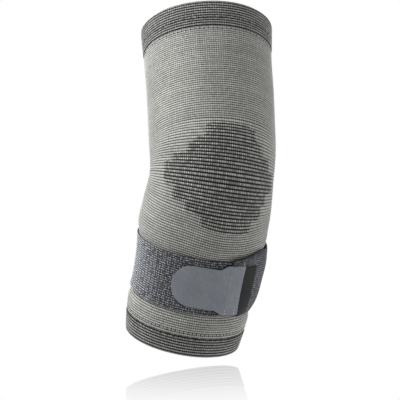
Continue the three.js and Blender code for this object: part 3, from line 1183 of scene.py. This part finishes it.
def pile_grid(column_angle):
    """Every loop of the pile, as the angle of its column, its row, its strand and its patch."""
    for patch in PILE_PATCHES:
        columns = round((patch["to"] - patch["from"]) / column_angle)
        for column in range(columns):
            middle = lerp(patch["from"], patch["to"], (column + HALF_COLUMN) / columns)
            for row in range(PILE_ROWS):
                for strand in STRANDS:
                    yield middle, row, strand, patch


def loop_shape(pale):
    """Sizes of a loop, from loose to tight as the pile grows pale."""
    tight = smoothstep(pale, *TIGHTENING)
    return {key: lerp(LOOSE_LOOP[key], TIGHT_LOOP[key], tight) for key in LOOSE_LOOP}


def pile_loop():
    """One loop of the pile: half a ring of thread that stands on its ends."""
    bm = bmesh.new()
    bmesh.ops.create_circle(bm, segments=LOOP_SIDES, radius=LOOP_THICKNESS * MM)
    bmesh.ops.translate(bm, verts=bm.verts, vec=(LOOP_BEND * MM, 0, 0))
    section = bm.verts[:] + bm.edges[:]
    half_ring = {"cent": (0, 0, 0), "axis": (0, 1, 0), "angle": -math.pi, "steps": LOOP_STEPS}
    bmesh.ops.spin(bm, geom=section, use_merge=False, **half_ring)
    bmesh.ops.holes_fill(bm, edges=[edge for edge in bm.edges if edge.is_boundary], sides=LOOP_SIDES)
    bmesh.ops.recalc_face_normals(bm, faces=bm.faces)
    return bm


class ELBOW_OT_pile(bpy.types.Operator):
    """Cover the outside of the strap with loop pile, except its bare stretch and what the tab covers"""

    bl_idname = "elbow.pile"
    bl_label = "Loop pile"

    def execute(self, context):
        settings = context.scene.elbow_strap
        yarns = settings.loop_dark, settings.loop_light
        material = toned_material("loop pile", *yarns, roughness=0.95, sheen=1.0)
        chance = random.Random(SEEDS["pile"])
        arm = knit_radius(TAB_CENTRE) + STRAP_WALL
        column_angle = math.degrees(settings.column_spacing / MM / arm)
        row_share = (1 - 2 * PILE_EDGE) / PILE_ROWS
        stretch = settings.loop_rise / MM / (LOOP_BEND + LOOP_THICKNESS)
        places = []
        tones = []
        for middle, row, strand, patch in pile_grid(column_angle):
            pale = 1 - smoothstep(abs(middle - SHEEN_PAINTED_SIDE["angle"]), 0, SHEEN_PAINTED_SIDE["reach"])
            shape = loop_shape(pale)
            stray = shape["stray"]
            angle = middle + math.degrees((strand["offset"] + chance.uniform(-stray, stray)) / arm)
            down = PILE_EDGE + row_share * (row + HALF_ROW + chance.uniform(-stray, stray))
            turn = strand["turn"] + shape["wander"] * chance.uniform(-1, 1)
            size = chance.uniform(*LOOP_SIZES)
            # Painted shadow: few loops on the sewn end are bright; painted sheen: a pair's loops on the
            # left flank are all bright
            bright = patch["bright"] * lerp(strand["bright"], strand["pale"], pale)
            kind = "bright" if chance.random() < bright else "dull"
            # Painted sheen: loops towards the left flank take light tones
            tone = lerp(chance.uniform(*FRONT_TONES[kind]), chance.uniform(*SHEEN_SIDE_TONES[kind]), pale)
            station, radius = strap_place(angle, down, STRAP_FACE)
            if under_tab(angle, station, LOOP_THICKNESS):
                continue
            grown = Vector((shape["length"], shape["girth"], stretch * shape["rise"])) * size
            scale = Matrix.Diagonal(grown).to_4x4()
            places.append(seat(station, angle, radius, math.radians(turn)) @ scale)
            tones.append(tone)
        bm = stamped(pile_loop(), places, tones)
        add_piece("strap_loop_pile", bm, material)
        return {"FINISHED"}


def tab_columns():
    """Angle and half width of the tab's columns, from its round tip to its sewn edge."""
    tip = TAB_TONGUE["half_width"]
    columns = []
    for k in range(TAB_TIP_STEPS):
        fan = math.radians(lerp(TAB_TIP_FAN, 0, k / TAB_TIP_STEPS))
        from_tip = tip * (1 - math.sin(fan))
        columns.append((TAB_TONGUE["tip"] + math.degrees(from_tip / tab_arm()), tip * math.cos(fan)))
    tip_end = TAB_TONGUE["tip"] + math.degrees(tip / tab_arm())
    steps = math.ceil((TAB_BASE["from"] - tip_end) / TAB_COLUMN)
    for k in range(steps + 1):
        angle = lerp(tip_end, TAB_BASE["from"], k / steps)
        columns.append((angle, tab_half_width(angle)))
    return columns


def tab_face(angle, station):
    """Radius of the tab's outer face."""
    tongue = GAP + STRAP_WALL
    height = lerp(tongue, lap_face(angle, station), smoothstep(angle, TAB_RAMP["low"], TAB_RAMP["high"]))
    return knit_radius(station) + height + TAB_WALL


def tab_material(settings):
    """Fine weave of the hook tape's back, with a faint cool cast in patches."""
    material, tree, shader = new_material("tab fabric", roughness=0.8, sheen=0.15)
    courses = course_map(tree)
    weave = use_group(tree, STITCHES, {"Courses": courses, "Valley": 0.05, "Softness": 0.7})
    fuzz = use_group(tree, FUZZ, {"Fine size": 0.0007, "Broad size": 0.012})
    face = blend(tree, fuzz.outputs["Broad"], settings.tab, settings.tab_cool)
    face = vary(tree, face, weave.outputs["Crown"], spread=0.14)
    face = vary(tree, face, weave.outputs["Chance"], spread=0.07)
    face = vary(tree, face, fuzz.outputs["Fine"], spread=0.08)
    tree.links.new(face, shader.inputs["Base Color"])
    height = fuzzy_height(tree, weave, fuzz, share=0.3)
    add_bump(tree, shader, height, strength=0.5, depth=0.2)
    return material


class ELBOW_OT_tab(bpy.types.Operator):
    """Cut the hook tab and lay it over the strap's end"""

    bl_idname = "elbow.tab"
    bl_label = "Hook tab"

    def execute(self, context):
        settings = context.scene.elbow_tab
        columns = tab_columns()

        def place(column, line):
            angle, half_width = columns[column]
            station = TAB_CENTRE + half_width * (2 * line / TAB_ROWS - 1)
            angle = leaned(angle, station)
            return on_arm(station, angle, tab_face(angle, station))

        def course(column, line):
            angle, half_width = columns[column]
            along = math.radians(angle) * tab_arm()
            return along / TAB_THREAD, half_width * (2 * line / TAB_ROWS - 1) / TAB_THREAD

        bm = rolled_grid(len(columns) - 1, TAB_ROWS, place, course, weld=False)
        piece = add_piece("hook_tab_face", bm, tab_material(settings), ["hook_tab"])
        add_wall(piece, TAB_WALL * MM)
        soften_edges(piece, TAB_EDGE * MM, segments=3)
        return {"FINISHED"}


class ELBOW_OT_sewing(bpy.types.Operator):
    """Sew the tab down with two rows of stitches"""

    bl_idname = "elbow.sewing"
    bl_label = "Tab stitches"

    def execute(self, context):
        settings = context.scene.elbow_tab
        material = toned_material("sewing thread", settings.thread, settings.bare_thread, roughness=0.7)
        chance = random.Random(SEEDS["sewing"])
        pitch = SEWING["pitch"]
        sway = SEWING["sway"]
        places = []
        tones = []
        for seam in TAB_SEAMS:
            reach = tab_half_width(seam) - SEWING["margin"]
            count = int(2 * reach / pitch)
            for k in range(count + 1):
                station = TAB_CENTRE - reach + k * pitch
                angle = leaned(seam, station)
                radius = tab_face(angle, station) + SEWING["lift"]
                lean = math.pi / 2 + chance.uniform(-sway, sway)
                places.append(seat(station, angle, radius, lean))
                tones.append(max(0.0, 1 - k / SEWING["white"]) + SEWING["fleck"] * chance.random())
        loose = lap_face(LOOSE_END["angle"], LOOSE_END["station"]) + knit_radius(LOOSE_END["station"])
        stretch = Matrix.Diagonal((LOOSE_END["stretch"], 1, 1, 1))
        places.append(seat(LOOSE_END["station"], LOOSE_END["angle"], loose, math.pi / 2) @ stretch)
        tones.append(1.0)
        bm = stamped(stitch_shape(**SEWING_STITCH), places, tones)
        add_piece("hook_tab_stitches", bm, material)
        return {"FINISHED"}


def label_material(settings):
    """Fine plain weave, slightly paler on its crowns."""
    material, tree, shader = new_material("label weave", roughness=0.65, sheen=0.05)
    courses = course_map(tree)
    weave = use_group(tree, STITCHES, {"Courses": courses, "Valley": 0.1, "Softness": 0.6})
    fuzz = use_group(tree, FUZZ, {"Fine size": 0.0004, "Broad size": 0.01})
    crown = calc(tree, "MULTIPLY", weave.outputs["Crown"], LABEL_CROWNS)
    cloth = blend(tree, crown, settings.label, settings.label_crown)
    cloth = vary(tree, cloth, fuzz.outputs["Fine"], spread=0.15)
    tree.links.new(cloth, shader.inputs["Base Color"])
    add_bump(tree, shader, weave.outputs["Height"], strength=0.4, depth=0.2)
    return material


class ELBOW_OT_label(bpy.types.Operator):
    """Sew the plain label on beside the tab"""

    bl_idname = "elbow.label"
    bl_label = "Side label"

    def execute(self, context):
        settings = context.scene.elbow_tab

        def place(column, line):
            angle = lerp(LABEL["from"], LABEL["to"], column / LABEL_COLUMNS)
            station = lerp(LABEL["bottom"], LABEL["top"], line / LABEL_ROWS)
            angle = leaned(angle, station)
            radius = knit_radius(station) + lap_face(angle, station) + LABEL["wall"]
            return on_arm(station, angle, radius)

        def course(column, line):
            return column * LABEL_THREADS, line * LABEL_THREADS

        bm = rolled_grid(LABEL_COLUMNS, LABEL_ROWS, place, course, weld=False)
        piece = add_piece("side_label_tag", bm, label_material(settings), ["side_label"])
        add_wall(piece, LABEL["wall"] * MM)
        soften_edges(piece, LABEL_EDGE * MM)
        return {"FINISHED"}


# Stage


def view_axes(settings):
    """The photograph's right, up and towards-the-camera directions."""
    azimuth = settings.azimuth
    back = Vector((math.sin(azimuth), -math.cos(azimuth), 0))
    level = Vector((math.cos(azimuth), math.sin(azimuth), 0))
    upright = back.cross(level)
    right = math.cos(settings.roll) * level + math.sin(settings.roll) * upright
    up = -math.sin(settings.roll) * level + math.cos(settings.roll) * upright
    return right, up, back


def in_view(settings, shares):
    """A vector given as right, up and towards the camera, in the support's own axes."""
    return sum((axis * share for axis, share in zip(view_axes(settings), shares)), Vector())


def add_camera(settings):
    """A camera that sees the support as the photograph does."""
    right, up, back = view_axes(settings)
    camera = bpy.data.cameras.new("photo view")
    camera.sensor_width = SENSOR_WIDTH
    camera.lens = SENSOR_WIDTH * settings.distance / settings.frame_width
    camera.clip_end = CLIP_END
    viewer = bpy.data.objects.new("photo view", camera)
    axes = Matrix((right, up, back)).transposed().to_4x4()
    viewer.matrix_world = Matrix.Translation(VIEW_CENTRE + back * settings.distance) @ axes
    bpy.context.scene.collection.objects.link(viewer)
    bpy.context.scene.camera = viewer


def add_world(settings):
    """A white studio: plain white to the camera and in the floor, with a soft light on either side."""
    world = bpy.data.worlds.new("white studio")
    world.use_nodes = True
    bpy.context.scene.world = world
    tree = world.node_tree
    tree.nodes.clear()
    sky = tree.nodes.new("ShaderNodeTexCoord").outputs["Generated"]

    def towards(side):
        facing = node(tree, "ShaderNodeVectorMath", operation="DOT_PRODUCT")
        tree.links.new(sky, facing.inputs[0])
        facing.inputs[1].default_value = in_view(settings, side).normalized()
        return facing.outputs["Value"]

    glow = settings.studio
    for side, brightness in ((settings.key_side, settings.key), (settings.fill_side, settings.fill)):
        facing = calc(tree, "MAXIMUM", towards(side), 0.0)
        glow = calc(tree, "MULTIPLY_ADD", calc(tree, "POWER", facing, settings.spread), brightness, glow)
    lighting = node(tree, "ShaderNodeBackground", {"Strength": glow})
    plain = node(tree, "ShaderNodeBackground", {"Strength": 1.0})
    for made in (lighting, plain):
        made.inputs["Color"].default_value = (1, 1, 1, 1)
    rays = tree.nodes.new("ShaderNodeLightPath").outputs
    seen = calc(tree, "MAXIMUM", rays["Is Camera Ray"], rays["Is Glossy Ray"])
    choice = node(tree, "ShaderNodeMixShader", {0: seen, 1: lighting.outputs[0], 2: plain.outputs[0]})
    out = tree.nodes.new("ShaderNodeOutputWorld")
    tree.links.new(choice.outputs[0], out.inputs["Surface"])


def add_soft_box(settings):
    """A round soft box close beside the upper arm, so that its light falls off towards the forearm."""
    offset = in_view(settings, settings.box_place)
    lamp = bpy.data.lights.new("soft box", "AREA")
    lamp.shape = "DISK"
    lamp.size = settings.box_size
    lamp.energy = settings.box_power
    box = bpy.data.objects.new("soft box", lamp)
    turn = offset.to_track_quat("Z", "Y").to_matrix().to_4x4()
    box.matrix_world = Matrix.Translation(VIEW_CENTRE + offset) @ turn
    box.visible_camera = False
    box.visible_glossy = False
    bpy.context.scene.collection.objects.link(box)


def floor_material(front):
    """White gloss: plain white to the camera with a faint reflection that fades towards the front."""
    material = bpy.data.materials.new("white floor")
    material.use_nodes = True
    tree = material.node_tree
    tree.nodes.clear()
    place = tree.nodes.new("ShaderNodeTexCoord").outputs["Object"]
    nearness = node(tree, "ShaderNodeVectorMath", operation="DOT_PRODUCT")
    tree.links.new(place, nearness.inputs[0])
    nearness.inputs[1].default_value = front
    fading = nearness.outputs["Value"]
    mirror_share = ease(tree, fading, 0.0, FLOOR["fade"], FLOOR["mirror"], FLOOR["faded"])
    seen = tree.nodes.new("ShaderNodeLightPath").outputs["Is Camera Ray"]
    white = node(tree, "ShaderNodeEmission", {"Strength": 1.0})
    finish = {"Color": (1, 1, 1, 1), "Roughness": FLOOR["roughness"]}
    gloss = node(tree, "ShaderNodeBsdfGlossy", finish)
    share = calc(tree, "MULTIPLY", mirror_share, seen)
    mix = node(tree, "ShaderNodeMixShader", {0: share, 1: white.outputs[0], 2: gloss.outputs[0]})
    out = tree.nodes.new("ShaderNodeOutputMaterial")
    tree.links.new(mix.outputs[0], out.inputs["Surface"])
    return material


def lowest_rim_points():
    """Points round the lower rim of the support."""
    rim = WELTS[-1]["rim"]
    radius = knit_radius(rim) + WELT_RISE - WELT_WALL / 2
    return [on_arm(rim, angle, radius) for angle in range(0, 360, RIM_STEP)]


def add_floor(settings):
    """A floor that is level in the photograph, just under the lower rim."""
    right, up, back = view_axes(settings)
    lowest = min(up.dot(point) for point in lowest_rim_points())
    height = lowest - settings.floor_gap
    bm = bmesh.new()
    bmesh.ops.create_grid(bm, x_segments=2, y_segments=2, size=FLOOR["half_width"])
    axes = Matrix((right, -back, up)).transposed().to_4x4()
    bmesh.ops.transform(bm, matrix=Matrix.Translation(up * height) @ axes, verts=bm.verts)
    mesh = bpy.data.meshes.new("floor")
    bm.to_mesh(mesh)
    bm.free()
    mesh.materials.append(floor_material(back))
    floor = bpy.data.objects.new("floor", mesh)
    floor.visible_diffuse = False
    floor.visible_shadow = False
    bpy.context.scene.collection.objects.link(floor)


class ELBOW_OT_stage(bpy.types.Operator):
    """Set the camera, the soft studio light and the white floor"""

    bl_idname = "elbow.stage"
    bl_label = "Stage"

    def execute(self, context):
        settings = context.scene.elbow_stage
        context.scene.view_settings.view_transform = "Standard"
        add_camera(settings)
        add_world(settings)
        add_soft_box(settings)
        add_floor(settings)
        return {"FINISHED"}


class ELBOW_PT_builder(bpy.types.Panel):
    """Buttons for the operators, and the settings"""

    bl_idname = "ELBOW_PT_builder"
    bl_label = "Elbow support"
    bl_space_type = "VIEW_3D"
    bl_region_type = "UI"
    bl_category = "Elbow support"

    def draw(self, context):
        for operator in OPERATORS:
            self.layout.operator(operator.bl_idname)
        for name in SETTINGS:
            column = self.layout.column()
            group = getattr(context.scene, name)
            for label in group.bl_rna.properties.keys():
                if label not in ("rna_type", "name"):
                    column.prop(group, label)


SETTINGS = {
    "elbow_knit": KnitSettings,
    "elbow_strap": StrapSettings,
    "elbow_tab": TabSettings,
    "elbow_stage": StageSettings,
}
OPERATORS = [
    ELBOW_OT_stage,
    ELBOW_OT_sleeve,
    ELBOW_OT_panel,
    ELBOW_OT_welts,
    ELBOW_OT_linking,
    ELBOW_OT_strap,
    ELBOW_OT_pile,
    ELBOW_OT_tab,
    ELBOW_OT_sewing,
    ELBOW_OT_label,
]


def register():
    """Registers the settings, the operators and the panel."""
    for group in SETTINGS.values():
        bpy.utils.register_class(group)
    for name, group in SETTINGS.items():
        setattr(bpy.types.Scene, name, PointerProperty(type=group))
    for operator in OPERATORS:
        bpy.utils.register_class(operator)
    bpy.utils.register_class(ELBOW_PT_builder)


def unregister():
    """Takes all of them out again."""
    bpy.utils.unregister_class(ELBOW_PT_builder)
    for operator in reversed(OPERATORS):
        bpy.utils.unregister_class(operator)
    for name, group in SETTINGS.items():
        delattr(bpy.types.Scene, name)
        bpy.utils.unregister_class(group)


def main():
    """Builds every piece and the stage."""
    register()
    stitches_group()
    fuzz_group()
    for operator in OPERATORS:
        family, action = operator.bl_idname.split(".")
        getattr(getattr(bpy.ops, family), action)()


if __name__ == "__main__":
    main()
